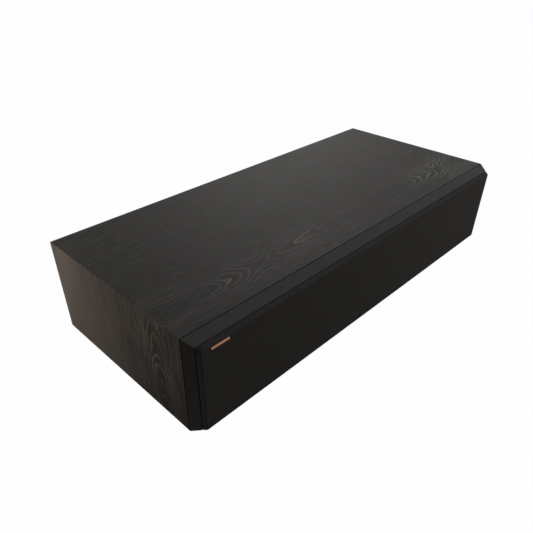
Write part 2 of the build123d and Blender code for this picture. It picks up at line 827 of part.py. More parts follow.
def jumper_strap():
    """Flat link between an upper and a lower post."""
    link = SlotCenterToCenter(post_pitch_z, strap_width, rotation=90)
    for sz in (-1, 1):
        link -= Pos(0, sz * post_pitch_z / 2) * Circle(post_radius + hole_fit)
    return Pos(0, 0, collar) * extrude(link, strap)


def terminals():
    """Terminal cup with its posts, nuts and links."""
    place = facing_rear(0, cup_floor_y)
    save("terminal_cup", facing_rear(0, rear_face_y) * terminal_cup())
    fixed = (binding_post(), post_hex_nut())
    save("binding_posts", group([place * Pos(u, v) * piece for u, v in post_places for piece in fixed]))
    names = ("upper_left", "upper_right", "lower_left", "lower_right")
    for name, (u, v) in zip(names, post_places):
        save(f"{name}_thumb_nut", place * Pos(u, v) * thumb_nut())
    save("jumper_straps", group([place * Pos(sx * post_pitch_x / 2, 0) * jumper_strap() for sx in (-1, 1)]))


def crossover():
    """Board clamped on the posts' inner nuts, with its parts on the side that faces the drivers."""
    place = facing_front(0, cup_floor_y - card_depth)
    plate = extrude(place * Rectangle(card_width, card_height), card)
    for u, v in post_places:
        plate -= place * Pos(u, v) * rod(post_radius + hole_fit, 0, card)
    save("crossover_board", plate)
    face = facing_front(0, cup_floor_y - card_depth - card)
    coil_x = card_width / 2 - coil_radius - part_gap
    coil_z = card_height / 2 - coil_radius - part_gap
    coil = tube(coil_radius, coil_bore, 0, coil_length)
    coil_places = [(sx * coil_x, sz * coil_z) for sx in (-1, 1) for sz in (-1, 1)]
    save("crossover_coils", group([face * Pos(u, v) * coil for u, v in coil_places]))
    can = Rot(0, 90, 0) * rod(capacitor_radius, -capacitor_length / 2, capacitor_length / 2)
    can_z = card_height / 2 - capacitor_radius - part_gap
    can = Pos(0, 0, capacitor_radius) * can
    save("crossover_capacitors", group([face * Pos(0, sz * can_z) * can for sz in (-1, 1)]))
    wide, tall, deep = resistor_size
    block = Pos(0, 0, deep / 2) * Box(wide, tall, deep)
    block_x = (wide + part_gap) / 2
    save("crossover_resistors", group([face * Pos(sx * block_x, 0) * block for sx in (-1, 1)]))


def lead(points):
    """One lead along straight runs joined by bends."""
    path = FilletPolyline(*points, radius=lead_bend)
    return sweep(Plane(path @ 0, z_dir=path % 0) * Circle(lead_radius), path)


def driver_leads():
    """A lead from the crossover board to the lug of each woofer and to the tweeter's rear cap."""
    card_y = cup_floor_y - card_depth - card
    lug_y = baffle_y + plate_depth
    lug_z = mid_z - lug_reach + lead_lap
    cap_y = baffle_y + horn_depth + 2 * tweeter_plate + tweeter_magnet_depth + rear_cap_depth
    start_z = mid_z - part_gap
    solids = []
    for x in woofer_xs:
        side = 1 if x > 0 else -1
        apart = lead_spread if abs(x) > inner_woofer_x else 0
        start_x = side * (coil_radius + lead_gap + apart)
        points = [
            (start_x, card_y, start_z),
            (start_x, card_y - lead_run, start_z),
            (x, lug_y + lead_run, lug_z),
            (x, lug_y, lug_z),
        ]
        solids.append(lead(points))
    low_z = mid_z - resistor_size[1] / 2 - part_gap
    points = [
        (0, card_y, low_z),
        (0, card_y - lead_run, low_z),
        (0, cap_y + lead_run, mid_z),
        (0, cap_y, mid_z),
    ]
    solids.append(lead(points))
    return solids


def damping_pads():
    """Wadding under the top board, one pad in each chamber."""
    chambers = (
        (-inner_width / 2, -brace_x - board / 2),
        (-brace_x + board / 2, brace_x - board / 2),
        (brace_x + board / 2, inner_width / 2),
    )
    top = mid_z + inner_height / 2 - pad_clear - pad_thickness / 2
    low_y = tongue_y + brace_land
    high_y = rear_inside_y - port_length
    solids = []
    for low_x, high_x in chambers:
        width = high_x - low_x - 2 * pad_margin
        pad = Box(width, high_y - low_y, pad_thickness)
        solids.append(Pos((low_x + high_x) / 2, (low_y + high_y) / 2, top) * pad)
    return solids


def grille():
    """Frame with its cloth, badge and magnets, and the magnets let into the baffle."""
    back = boards_front_y - grille_back - cloth
    save("grille_frame", grille_frame())
    save("grille_cloth", grille_cloth())
    save("grille_badge", grille_badge())
    save("grille_magnets", group(magnets(back, boss_clear - grille_gap - cloth)))
    save("baffle_magnets", group(magnets(baffle_y, -magnet_thickness)))


def cabinet():
    """Boards, braces, feet, wadding and ports."""
    wrap_boards()
    save("front_baffle", front_baffle())
    save("rear_board", rear_board())
    save("left_brace", brace(-brace_x))
    save("right_brace", brace(brace_x))
    save("rubber_feet", group(rubber_feet()))
    save("damping_pads", group(damping_pads()))
    save("left_port", facing_rear(-outer_woofer_x, rear_face_y) * port())
    save("right_port", facing_rear(outer_woofer_x, rear_face_y) * port())


os.makedirs("parts", exist_ok=True)
cabinet()
grille()
woofers()
tweeter()
terminals()
crossover()
save("panel_screws", group(panel_screws()))
save("driver_leads", group(driver_leads()))
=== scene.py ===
import math
import bpy
import bmesh
import numpy as np
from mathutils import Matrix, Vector


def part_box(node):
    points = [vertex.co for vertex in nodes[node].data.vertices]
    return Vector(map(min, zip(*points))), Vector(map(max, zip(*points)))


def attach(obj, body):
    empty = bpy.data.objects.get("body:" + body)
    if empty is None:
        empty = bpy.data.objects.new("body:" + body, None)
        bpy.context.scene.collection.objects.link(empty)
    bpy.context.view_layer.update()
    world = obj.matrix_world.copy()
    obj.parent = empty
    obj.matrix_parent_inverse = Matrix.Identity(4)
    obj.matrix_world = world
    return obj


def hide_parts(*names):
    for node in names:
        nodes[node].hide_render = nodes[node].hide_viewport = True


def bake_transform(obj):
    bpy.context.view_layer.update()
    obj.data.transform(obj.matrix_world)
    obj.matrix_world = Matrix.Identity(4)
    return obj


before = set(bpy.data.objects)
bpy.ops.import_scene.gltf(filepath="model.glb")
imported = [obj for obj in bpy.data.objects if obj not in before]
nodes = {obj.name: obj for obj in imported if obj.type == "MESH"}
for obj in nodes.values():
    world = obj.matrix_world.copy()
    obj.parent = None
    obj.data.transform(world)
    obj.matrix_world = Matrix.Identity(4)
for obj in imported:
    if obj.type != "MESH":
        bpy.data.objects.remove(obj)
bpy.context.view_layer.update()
print("frame loaded:", len(nodes), "nodes")


# small helpers for node trees

noiseSpan = (0.3, 0.7)      # most of a noise texture lies between these
mmPerMetre = 1000.0
tiny = 1e-5                 # m, points nearer than this count as one


def addNode(tree, kind, **settings):
    node = tree.nodes.new(kind)
    for key, value in settings.items():
        setattr(node, key, value)
    return node


def feed(tree, socket, value):
    if hasattr(value, "is_output"):
        tree.links.new(value, socket)
    else:
        socket.default_value = value


def calc(tree, operation, first, second=0.0, third=0.0, clamp=False):
    node = addNode(tree, "ShaderNodeMath", operation=operation, use_clamp=clamp)
    for socket, value in zip(node.inputs, (first, second, third)):
        feed(tree, socket, value)
    return node.outputs[0]


def remap(tree, value, low, high, toLow, toHigh, smooth=False):
    node = addNode(tree, "ShaderNodeMapRange", interpolation_type="SMOOTHSTEP" if smooth else "LINEAR")
    for socket, item in zip(node.inputs, (value, low, high, toLow, toHigh)):
        feed(tree, socket, item)
    return node.outputs[0]


def mixColour(tree, share, first, second):
    node = addNode(tree, "ShaderNodeMix", data_type="RGBA")
    feed(tree, node.inputs[0], share)
    feed(tree, node.inputs[6], first)
    feed(tree, node.inputs[7], second)
    return node.outputs[2]


def noiseOf(tree, vector, scale, detail=3.0, roughness=0.5, stretch=(1.0, 1.0, 1.0)):
    place = addNode(tree, "ShaderNodeMapping")
    place.inputs["Scale"].default_value = stretch
    feed(tree, place.inputs["Vector"], vector)
    node = addNode(tree, "ShaderNodeTexNoise")
    node.inputs["Scale"].default_value = scale
    node.inputs["Detail"].default_value = detail
    node.inputs["Roughness"].default_value = roughness
    tree.links.new(place.outputs[0], node.inputs["Vector"])
    return node.outputs[0]


def rgb(colour):
    return (*colour, 1.0)


def startMaterial(name):
    material = bpy.data.materials.new(name)
    material.use_nodes = True
    tree = material.node_tree
    shader = tree.nodes["Principled BSDF"]
    place = addNode(tree, "ShaderNodeTexCoord").outputs["Object"]
    return material, tree, shader, place


def addBump(tree, shader, height, strength, distance):
    bump = addNode(tree, "ShaderNodeBump")
    bump.inputs["Strength"].default_value = strength
    bump.inputs["Distance"].default_value = distance
    tree.links.new(height, bump.inputs["Height"])
    tree.links.new(bump.outputs[0], shader.inputs["Normal"])


def dress(nodeName, material):
    mesh = nodes[nodeName].data
    mesh.materials.clear()
    mesh.materials.append(material)


# one recipe for plain finishes: tone variation, roughness variation and a fine bump

def plainFinish(name, colour, variation, scale, roughness, stretch=(1, 1, 1), metallic=0.0, specular=0.5,
                bump=0.1, bumpScale=900.0, bumpDepth=0.0002):
    material, tree, shader, place = startMaterial(name)
    tone = noiseOf(tree, place, scale, detail=4.0, roughness=0.55, stretch=stretch)
    light = [min(1.0, c * (1 + variation)) for c in colour]
    dark = [c * (1 - variation) for c in colour]
    tree.links.new(mixColour(tree, tone, rgb(dark), rgb(light)), shader.inputs["Base Color"])
    fine = noiseOf(tree, place, bumpScale, detail=2.0, roughness=0.6, stretch=stretch)
    tree.links.new(remap(tree, fine, *noiseSpan, *roughness), shader.inputs["Roughness"])
    shader.inputs["Metallic"].default_value = metallic
    shader.inputs["Specular IOR Level"].default_value = specular
    addBump(tree, shader, fine, bump, bumpDepth)
    return material


# wood-grain wrap, one sheet folded round the cabinet

wrapLook = {
    "topZ": 0.1855, "halfWidth": 0.430,     # m, where the sheet folds
    "underShift": 0.003,                    # m, shift of the figure on the bottom board
    "heartY": -105.0,                       # mm, line that the cathedral figure follows
    "lineSpacing": 4.2,                     # mm between growth lines
    "lineSharpness": 4.0, "lineTones": (0.25, 1.0),
    "depth": (6.0, 34.0),                   # mm from the heart to the sheet: least, and what a full share adds
    "sway": 44.0,                           # mm, how far the figure wanders across the sheet
    "rippleDepth": 3.0, "rippleSway": 4.0,  # mm
    "open": (13.0, 22.0),                   # mm, the lines come in between these rings
    "figureFade": (24.0, 75.0), "figureFar": 0.22,      # mm from the heart, and what is left of the lines there
    "fibreFade": (30.0, 120.0), "fibreNear": 0.1,       # mm from the heart, and how even fibres are before it
    "sheetSpan": (-720.0, 680.0),           # mm, ends of the unfolded sheet
    "depthAlong": (     # mm along the sheet, share of the depth, strength of the lines, tone at the heart (its low values are painted shade at the bottom of the left side)
        (-720, 0.35, 0.3, 0.9), (-620, 0.12, 0.8, 0.20), (-540, 0.40, 0.9, 0.42), (-480, 0.70, 0.8, 0.85),
        (-433, 0.85, 0.7, 1.0), (-427, 0.08, 0.8, 0.9), (-370, 0.16, 0.8, 0.9), (-320, 0.42, 0.8, 0.9),
        (-295, 0.62, 0.8, 0.9), (-230, 0.95, 0.6, 0.9), (-159, 0.70, 1.0, 0.9), (-116, 0.60, 1.0, 0.9),
        (-41, 0.45, 0.8, 0.9), (29, 0.34, 0.5, 1.0), (130, 0.20, 0.3, 1.0), (220, 0.45, 0.5, 1.0),
        (292, 0.72, 1.3, 1.0), (338, 0.95, 1.6, 1.0), (368, 0.70, 1.6, 1.0), (420, 0.22, 1.3, 1.0),
        (470, 0.60, 0.6, 0.9), (540, 0.80, 0.6, 0.9), (680, 0.30, 0.3, 0.9),
    ),
    "noises": {         # detail, roughness, and waves per mm along and across the sheet
        "wander": (2.0, 0.5, (0.0032, 0.010, 1.0)), "ripple": (3.0, 0.6, (0.011, 0.055, 1.0)),
        "patch": (2.0, 0.5, (0.010, 0.022, 1.0)), "fibre": (3.0, 0.6, (0.010, 0.36, 1.0)),
        "thread": (3.0, 0.6, (0.035, 1.3, 1.0)), "pores": (2.0, 0.6, (0.040, 0.85, 1.0)),
    },
    "spans": {          # from and to values of each noise where it is turned into a share
        "patch": (0.36, 0.60, 0.4, 1.0), "flecks": (0.50, 0.72, 0.0, 1.0), "broken": (0.38, 0.60, 0.12, 1.0),
        "thread": (0.35, 0.70, 0.0, 1.0), "fibre": (0.44, 0.66, 0.0, 1.0),
    },
    "shares": {"thread": 0.5, "flecks": 0.18, "streaks": 0.17, "figure": 1.3},
    "dark": (0.0100, 0.0095, 0.0090), "pale": (0.165, 0.156, 0.146), "roughness": (0.52, 0.68),
    "edge": (0.006, 0.006, 0.006), "edgeTurn": 0.7,     # black paint of the edges, darkened further as painted shade for the groove, and how far these face along Y
    "ground": 0.105,                        # mean tone between the lines
    "poreRelief": -0.5, "lineRelief": 0.35, "bump": 0.15, "bumpDepth": 0.0003,
}


def wrapMaterial(name, axis, direction, offset, specular, calm, paintedLightTint=(1.0, 1.0, 1.0)):
    look, spans, shares = wrapLook, wrapLook["spans"], wrapLook["shares"]
    material, tree, shader, place = startMaterial(name)
    split = addNode(tree, "ShaderNodeSeparateXYZ")
    tree.links.new(place, split.inputs[0])
    along = calc(tree, "MULTIPLY_ADD", split.outputs[axis], direction * mmPerMetre, offset * mmPerMetre)
    across = calc(tree, "MULTIPLY", split.outputs["Y"], mmPerMetre)
    sheet = addNode(tree, "ShaderNodeCombineXYZ")
    tree.links.new(along, sheet.inputs[0])
    tree.links.new(across, sheet.inputs[1])
    flat = sheet.outputs[0]                     # the unfolded sheet, in mm
    noise = {key: noiseOf(tree, flat, 1.0, *item) for key, item in look["noises"].items()}

    # growth lines: a shallow cut past the heart of the log, which runs in and out along the sheet
    low, high = look["sheetSpan"]
    ramp = addNode(tree, "ShaderNodeValToRGB")
    ramp.color_ramp.interpolation = "EASE"
    stops = ramp.color_ramp.elements
    while len(stops) < len(look["depthAlong"]):
        stops.new(0.5)
    for stop, (station, share, strength, tone) in zip(stops, look["depthAlong"]):
        stop.position = (station - low) / (high - low)
        stop.color = (share, strength, tone, 1.0)
    tree.links.new(remap(tree, along, low, high, 0.0, 1.0), ramp.inputs[0])
    stationValues = addNode(tree, "ShaderNodeSeparateColor")
    tree.links.new(ramp.outputs[0], stationValues.inputs[0])
    depthShare, lineStrength, heartToneAndPaintedShade = stationValues.outputs
    depth = calc(tree, "MULTIPLY_ADD", depthShare, look["depth"][1], look["depth"][0])
    depth = calc(tree, "MULTIPLY_ADD", noise["ripple"], look["rippleDepth"], depth)
    sway = calc(tree, "MULTIPLY_ADD", noise["wander"], look["sway"], -look["sway"] / 2)
    sway = calc(tree, "MULTIPLY_ADD", noise["ripple"], look["rippleSway"], sway)
    fromHeart = calc(tree, "ADD", calc(tree, "SUBTRACT", across, look["heartY"]), sway)
    distance = calc(tree, "ABSOLUTE", fromHeart)
    spread = calc(tree, "MULTIPLY", fromHeart, fromHeart)
    ring = calc(tree, "SQRT", calc(tree, "MULTIPLY_ADD", depth, depth, spread))
    count = calc(tree, "DIVIDE", ring, look["lineSpacing"])
    line = calc(tree, "POWER", calc(tree, "FRACT", count), look["lineSharpness"])
    eachLine = addNode(tree, "ShaderNodeTexWhiteNoise", noise_dimensions="1D")
    tree.links.new(calc(tree, "FLOOR", count), eachLine.inputs["W"])
    lineTone = remap(tree, eachLine.outputs["Value"], 0.0, 1.0, *look["lineTones"])
    line = calc(tree, "MULTIPLY", line, lineTone)
    near = remap(tree, distance, *look["figureFade"], 1.0, look["figureFar"], smooth=True)
    near = calc(tree, "MULTIPLY", near, remap(tree, ring, *look["open"], 0.0, 1.0, smooth=True))
    patch = remap(tree, noise["patch"], *spans["patch"], smooth=True)
    patch = calc(tree, "MULTIPLY", patch, lineStrength)

    # fibres: long streaks at two widths, and short pale pores
    flecks = remap(tree, noise["pores"], *spans["flecks"])
    broken = remap(tree, noise["thread"], *spans["broken"])
    figure = calc(tree, "MULTIPLY", calc(tree, "MULTIPLY", line, near), calc(tree, "MULTIPLY", patch, broken))
    wide = remap(tree, noise["fibre"], *spans["fibre"])
    streaks = calc(tree, "MULTIPLY_ADD", remap(tree, noise["thread"], *spans["thread"]), shares["thread"], wide)
    streaks = calc(tree, "MULTIPLY", streaks, shares["streaks"])
    ground = calc(tree, "MULTIPLY_ADD", flecks, shares["flecks"], streaks)
    away = remap(tree, distance, *look["fibreFade"], 0.0, 1.0, smooth=True)
    even = remap(tree, away, 0.0, 1.0, look["fibreNear"], calm)     # the fibres grow even away from the heart
    ground = calc(tree, "MULTIPLY_ADD", calc(tree, "SUBTRACT", look["ground"], ground), even, ground)
    # painted shade: the heart tone darkens the bottom of the left side near the heart line
    ground = calc(tree, "MULTIPLY", ground, remap(tree, away, 0.0, 1.0, heartToneAndPaintedShade, 1.0))
    grain = calc(tree, "MULTIPLY_ADD", figure, shares["figure"], ground, clamp=True)
    # painted warm light: the tint colours one board's copy of the sheet warmer than the rest
    dark = [c * t for c, t in zip(look["dark"], paintedLightTint)]
    pale = [c * t for c, t in zip(look["pale"], paintedLightTint)]
    sheetColour = mixColour(tree, grain, rgb(dark), rgb(pale))
    facing = addNode(tree, "ShaderNodeSeparateXYZ")         # the boards' front and rear edges are painted black, darker still as painted shade in the groove behind the baffle
    tree.links.new(addNode(tree, "ShaderNodeNewGeometry").outputs["True Normal"], facing.inputs[0])
    edge = calc(tree, "GREATER_THAN", calc(tree, "ABSOLUTE", facing.outputs["Y"]), look["edgeTurn"])
    tree.links.new(mixColour(tree, edge, sheetColour, rgb(look["edge"])), shader.inputs["Base Color"])
    roughness = remap(tree, noise["fibre"], *noiseSpan, *look["roughness"])
    tree.links.new(roughness, shader.inputs["Roughness"])
    shader.inputs["Specular IOR Level"].default_value = specular
    height = calc(tree, "MULTIPLY_ADD", line, look["lineRelief"], noise["thread"])
    height = calc(tree, "MULTIPLY_ADD", noise["pores"], look["poreRelief"], height)
    addBump(tree, shader, height, look["bump"], look["bumpDepth"])
    return material


fold = wrapLook["halfWidth"] + wrapLook["topZ"]
underFold = -fold - wrapLook["halfWidth"] - wrapLook["underShift"]
for nodeName, settings in {
    "top_board": {"name": "wrapTop", "axis": "X", "direction": 1.0, "offset": 0.0, "specular": 0.06,
                  "calm": 0.1},
    # the left board's tint is painted warm light on that side
    "left_board": {"name": "wrapLeft", "axis": "Z", "direction": 1.0, "offset": -fold, "specular": 0.004,
                   "calm": 0.65, "paintedLightTint": (1.04, 1.0, 0.97)},
    "right_board": {"name": "wrapRight", "axis": "Z", "direction": -1.0, "offset": fold, "specular": 0.004,
                    "calm": 0.65},
    "bottom_board": {"name": "wrapBottom", "axis": "X", "direction": -1.0, "offset": underFold,
                     "specular": 0.004, "calm": 0.4},
}.items():
    dress(nodeName, wrapMaterial(**settings))
print("wrap done")


# plain finishes of the carried-over pieces

plainLooks = {
    "bareBoard": {"colour": (0.30, 0.21, 0.13), "variation": 0.22, "scale": 90.0, "roughness": (0.7, 0.85),
                  "bump": 0.25, "bumpScale": 700},
    "rearPaint": {"colour": (0.020, 0.020, 0.020), "variation": 0.2, "scale": 40.0, "roughness": (0.5, 0.66),
                  "specular": 0.35, "bump": 0.35, "bumpScale": 1500, "bumpDepth": 0.0003},
    "satinPaint": {"colour": (0.0550, 0.0538, 0.0526), "variation": 0.08, "scale": 25.0,
                   "roughness": (0.30, 0.36), "specular": 0.012, "bump": 0.05, "bumpScale": 1600, "bumpDepth": 0.0001},
    "blackMoulding": {"colour": (0.016, 0.016, 0.016), "variation": 0.12, "scale": 30.0,
                      "roughness": (0.40, 0.52), "bump": 0.18, "bumpScale": 1800},
    "hornRubber": {"colour": (0.014, 0.014, 0.015), "variation": 0.12, "scale": 30.0, "roughness": (0.46, 0.60),
                   "specular": 0.4, "bump": 0.15, "bumpScale": 2200},
    "basketPaint": {"colour": (0.020, 0.020, 0.021), "variation": 0.15, "scale": 60.0,
                    "roughness": (0.38, 0.50), "bump": 0.25, "bumpScale": 1300, "bumpDepth": 0.0003},
    "softBlack": {"colour": (0.012, 0.012, 0.012), "variation": 0.12, "scale": 40.0, "roughness": (0.52, 0.66),
                  "specular": 0.35, "bump": 0.12, "bumpScale": 1500},
    "ferrite": {"colour": (0.035, 0.035, 0.037), "variation": 0.25, "scale": 110.0, "roughness": (0.55, 0.75),
                "bump": 0.4, "bumpScale": 800},
    "platedSteel": {"colour": (0.55, 0.55, 0.56), "variation": 0.08, "scale": 40.0, "roughness": (0.28, 0.42),
                    "metallic": 1.0, "bump": 0.06},
    "blackScrew": {"colour": (0.030, 0.030, 0.032), "variation": 0.15, "scale": 200.0,
                   "roughness": (0.32, 0.45), "metallic": 0.6, "bump": 0.05},
    "platedBrass": {"colour": (0.78, 0.56, 0.22), "variation": 0.06, "scale": 50.0, "roughness": (0.18, 0.30),
                    "metallic": 1.0, "bump": 0.04},
    "redNut": {"colour": (0.42, 0.012, 0.014), "variation": 0.12, "scale": 80.0, "roughness": (0.22, 0.32),
               "bump": 0.05},
    "blackNut": {"colour": (0.014, 0.014, 0.015), "variation": 0.12, "scale": 80.0, "roughness": (0.22, 0.32),
                 "bump": 0.05},
    "cementWhite": {"colour": (0.62, 0.60, 0.55), "variation": 0.10, "scale": 140.0, "roughness": (0.75, 0.9),
                    "bump": 0.4, "bumpScale": 1200},
    "filmCan": {"colour": (0.52, 0.30, 0.05), "variation": 0.10, "scale": 60.0, "roughness": (0.25, 0.38),
                "bump": 0.05},
    "leadSleeve": {"colour": (0.03, 0.03, 0.032), "variation": 0.12, "scale": 120.0, "roughness": (0.40, 0.52),
                   "bump": 0.08},
    "footRubber": {"colour": (0.018, 0.018, 0.018), "variation": 0.15, "scale": 90.0, "roughness": (0.65, 0.8),
                   "specular": 0.3, "bump": 0.2, "bumpScale": 1400},
    "copperBar": {"colour": (0.34, 0.17, 0.09), "variation": 0.10, "scale": 120.0, "roughness": (0.40, 0.55),
                  "stretch": (1, 1, 30), "metallic": 1.0, "bump": 0.10, "bumpScale": 500},
    "silverDome": {"colour": (0.60, 0.59, 0.57), "variation": 0.06, "scale": 150.0, "roughness": (0.24, 0.34),
                   "metallic": 1.0, "bump": 0.05},
}
finishes = {name: plainFinish(name, **look) for name, look in plainLooks.items()}

for finish, wearers in {
    "bareBoard": ("left_brace", "right_brace"),
    "rearPaint": ("rear_board",),
    "satinPaint": ("front_baffle",),
    "blackMoulding": ("grille_frame", "tweeter_rear_cap", "left_port", "right_port", "terminal_cup"),
    "hornRubber": ("horn", "phase_plug"),
    "basketPaint": tuple(f"woofer_{number}_basket" for number in range(1, 5)),
    "softBlack": ("woofer_gaskets", "woofer_surrounds"),
    "ferrite": ("woofer_magnets", "tweeter_magnet"),
    "platedSteel": ("grille_magnets", "baffle_magnets", "woofer_top_plates", "woofer_yokes",
                    "tweeter_top_plate", "tweeter_yoke"),
    "blackScrew": ("panel_screws",),
    "platedBrass": ("binding_posts", "jumper_straps"),
    "redNut": ("upper_left_thumb_nut", "lower_left_thumb_nut"),
    "blackNut": ("upper_right_thumb_nut", "lower_right_thumb_nut"),
    "cementWhite": ("crossover_resistors",),
    "filmCan": ("crossover_capacitors",),
    "leadSleeve": ("driver_leads",),
    "footRubber": ("rubber_feet",),
    "copperBar": ("grille_badge",),
    "silverDome": ("tweeter_diaphragm",),
}.items():
    for nodeName in wearers:
        dress(nodeName, finishes[finish])
print("plain finishes done")


# spun copper cones: fine turned rings about each woofer's own axis

coneLook = {
    "midZ": 0.09425, "xs": (-0.311, -0.157, 0.157, 0.311),      # m, the woofers' axes
    "colour": (0.66, 0.33, 0.18), "darker": 0.86, "lighter": 1.1, "toneScale": 30.0,
    "ringPitch": 0.0007, "ringHeight": 0.5, "wobbleScale": 240.0, "ringSpan": (-0.2, 1.2),
    "roughness": (0.30, 0.42), "bump": 0.10, "bumpDepth": 0.0001,
}


def spunCopper(name, centreX):
    look = coneLook
    material, tree, shader, place = startMaterial(name)
    centre = addNode(tree, "ShaderNodeMapping")
    centre.inputs["Location"].default_value = (-centreX, 0.0, -look["midZ"])
    centre.inputs["Scale"].default_value = (1.0, 0.0, 1.0)
    tree.links.new(place, centre.inputs["Vector"])
    radius = addNode(tree, "ShaderNodeVectorMath", operation="LENGTH")
    tree.links.new(centre.outputs[0], radius.inputs[0])
    waves = 2 * math.pi / look["ringPitch"]
    turn = calc(tree, "SINE", calc(tree, "MULTIPLY", radius.outputs["Value"], waves))
    wobble = noiseOf(tree, place, look["wobbleScale"], detail=2.0)
    ring = calc(tree, "MULTIPLY_ADD", turn, look["ringHeight"], wobble)
    tone = noiseOf(tree, place, look["toneScale"], detail=3.0)
    dark = [c * look["darker"] for c in look["colour"]]
    light = [c * look["lighter"] for c in look["colour"]]
    tree.links.new(mixColour(tree, tone, rgb(dark), rgb(light)), shader.inputs["Base Color"])
    tree.links.new(remap(tree, ring, *look["ringSpan"], *look["roughness"]), shader.inputs["Roughness"])
    shader.inputs["Metallic"].default_value = 1.0
    addBump(tree, shader, ring, look["bump"], look["bumpDepth"])
    return material


spiderLook = {"colour": (0.35, 0.20, 0.05), "darker": 0.6, "weaveScale": 350.0, "distortion": 0.4,
              "roughness": (0.9, 0.7), "bump": 0.3, "bumpDepth": 0.0003}


def treatedCloth(name):
    look = spiderLook
    material, tree, shader, place = startMaterial(name)
    weave = addNode(tree, "ShaderNodeTexWave", bands_direction="X")
    cross = addNode(tree, "ShaderNodeTexWave", bands_direction="Z")
    for node in (weave, cross):
        node.inputs["Scale"].default_value = look["weaveScale"]
        node.inputs["Distortion"].default_value = look["distortion"]
        tree.links.new(place, node.inputs["Vector"])
    height = calc(tree, "MULTIPLY", weave.outputs["Fac"], cross.outputs["Fac"])
    dark = [c * look["darker"] for c in look["colour"]]
    tree.links.new(mixColour(tree, height, rgb(dark), rgb(look["colour"])), shader.inputs["Base Color"])
    tree.links.new(remap(tree, height, 0.0, 1.0, *look["roughness"]), shader.inputs["Roughness"])
    addBump(tree, shader, height, look["bump"], look["bumpDepth"])
    return material


windingLook = {"dark": (0.20, 0.07, 0.025), "light": (0.62, 0.25, 0.10), "turnScale": 260.0, "distortion": 0.15,
               "roughness": (0.5, 0.3), "metallic": 0.85, "bump": 0.4, "bumpDepth": 0.0004}


def windingCopper(name):
    look = windingLook
    material, tree, shader, place = startMaterial(name)
    turns = addNode(tree, "ShaderNodeTexWave", bands_direction="Y")
    turns.inputs["Scale"].default_value = look["turnScale"]
    turns.inputs["Distortion"].default_value = look["distortion"]
    tree.links.new(place, turns.inputs["Vector"])
    turn = turns.outputs["Fac"]
    tree.links.new(mixColour(tree, turn, rgb(look["dark"]), rgb(look["light"])), shader.inputs["Base Color"])
    tree.links.new(remap(tree, turn, 0.0, 1.0, *look["roughness"]), shader.inputs["Roughness"])
    shader.inputs["Metallic"].default_value = look["metallic"]
    addBump(tree, shader, turn, look["bump"], look["bumpDepth"])
    return material


boardLook = {"Color1": (0.010, 0.085, 0.035), "Color2": (0.012, 0.10, 0.042), "Mortar": (0.016, 0.055, 0.025),
             "scale": 55.0, "gap": 0.06, "roughness": (0.3, 0.45), "bump": 0.15, "bumpDepth": 0.0002}


def boardGreen(name):
    look = boardLook
    material, tree, shader, place = startMaterial(name)
    tracks = addNode(tree, "ShaderNodeTexBrick")
    tracks.inputs["Scale"].default_value = look["scale"]
    tracks.inputs["Mortar Size"].default_value = look["gap"]
    for key in ("Color1", "Color2", "Mortar"):
        tracks.inputs[key].default_value = rgb(look[key])
    turned = addNode(tree, "ShaderNodeMapping")
    turned.inputs["Rotation"].default_value = (math.pi / 2, 0.0, 0.0)
    tree.links.new(place, turned.inputs["Vector"])
    tree.links.new(turned.outputs[0], tracks.inputs["Vector"])
    tree.links.new(tracks.outputs["Color"], shader.inputs["Base Color"])
    tree.links.new(remap(tree, tracks.outputs["Fac"], 0.0, 1.0, *look["roughness"]), shader.inputs["Roughness"])
    addBump(tree, shader, tracks.outputs["Fac"], look["bump"], look["bumpDepth"])
    return material


spiderCloth = treatedCloth("spiderCloth")
coilCopper = windingCopper("coilCopper")
for number, centreX in enumerate(coneLook["xs"], 1):
    copper = spunCopper(f"spunCopper{number}", centreX)
    dress(f"woofer_{number}_cone", copper)
    dress(f"woofer_{number}_dust_cap", copper)
    dress(f"woofer_{number}_voice_coil", coilCopper)
dress("woofer_spiders", spiderCloth)
dress("crossover_coils", coilCopper)
dress("crossover_board", boardGreen("boardGreen"))
print("driver finishes done")


# grille cloth, stretched over the frame and turned in at the back

clothPiece = {
    "thickness": 0.0004, "flat": (0.863, 0.185), "cells": (72, 14),     # m, and cells of the front's grid
    "bevel": (9.5, 18.3),           # the frame's bevel, in and back
    "return": 0.006, "returnStep": 0.3, "edgeRound": 0.0016, "roundSteps": 6,
    "reach": 0.02, "margin": 0.004,                     # m, inwards from the front edge
    "colour": (0.0420, 0.0394, 0.0358), "darker": 0.78, "lighter": 1.24,
    "ends": 1.9, "top": 0.86,       # painted light on the cloth's end chamfers and painted shade on its top and bottom chamfers
    "threadPitch": 0.0011, "threadHeight": 0.25, "streakHeight": 0.6,
    "streak": (45.0, 45.0, 1400.0), "slub": (160.0, 160.0, 900.0),      # waves per m
    "heightSpan": (0.45, 1.15), "roughness": (0.92, 0.78), "bump": 0.22, "bumpDepth": 0.0003,
    "sockets": {"Specular IOR Level": 0.01, "Sheen Weight": 0.02, "Sheen Roughness": 0.5},
}


